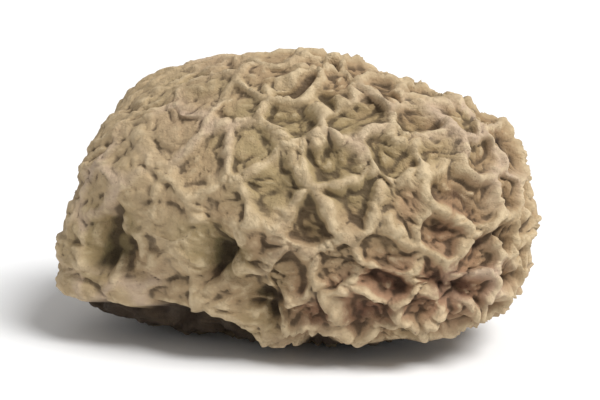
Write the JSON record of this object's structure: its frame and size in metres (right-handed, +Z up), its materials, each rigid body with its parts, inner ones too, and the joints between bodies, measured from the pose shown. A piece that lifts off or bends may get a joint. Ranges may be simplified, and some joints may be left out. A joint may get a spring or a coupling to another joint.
{
  "type": "black morel mushroom",
  "caption": "Dried black morel lying on its side: an egg-shaped cap of fine wavy ridges and dark pits, running into the last of its trimmed stem.",
  "frame": {"origin": "on the surface that the mushroom rests on, under the middle of its box", "axes": "+Z up; +X along the mushroom, from the trimmed stem end to the tip of the cap; the side seen in the picture faces -Y"},
  "size_m": [0.0224, 0.0142, 0.0134],
  "materials": {
    "dried_flesh": "matte, dry and wrinkled, khaki brown on the ridges and dark brown in the pits"
  },
  "bodies": {
    "root": {"morel": "dried_flesh"}
  },
  "joints": []
}
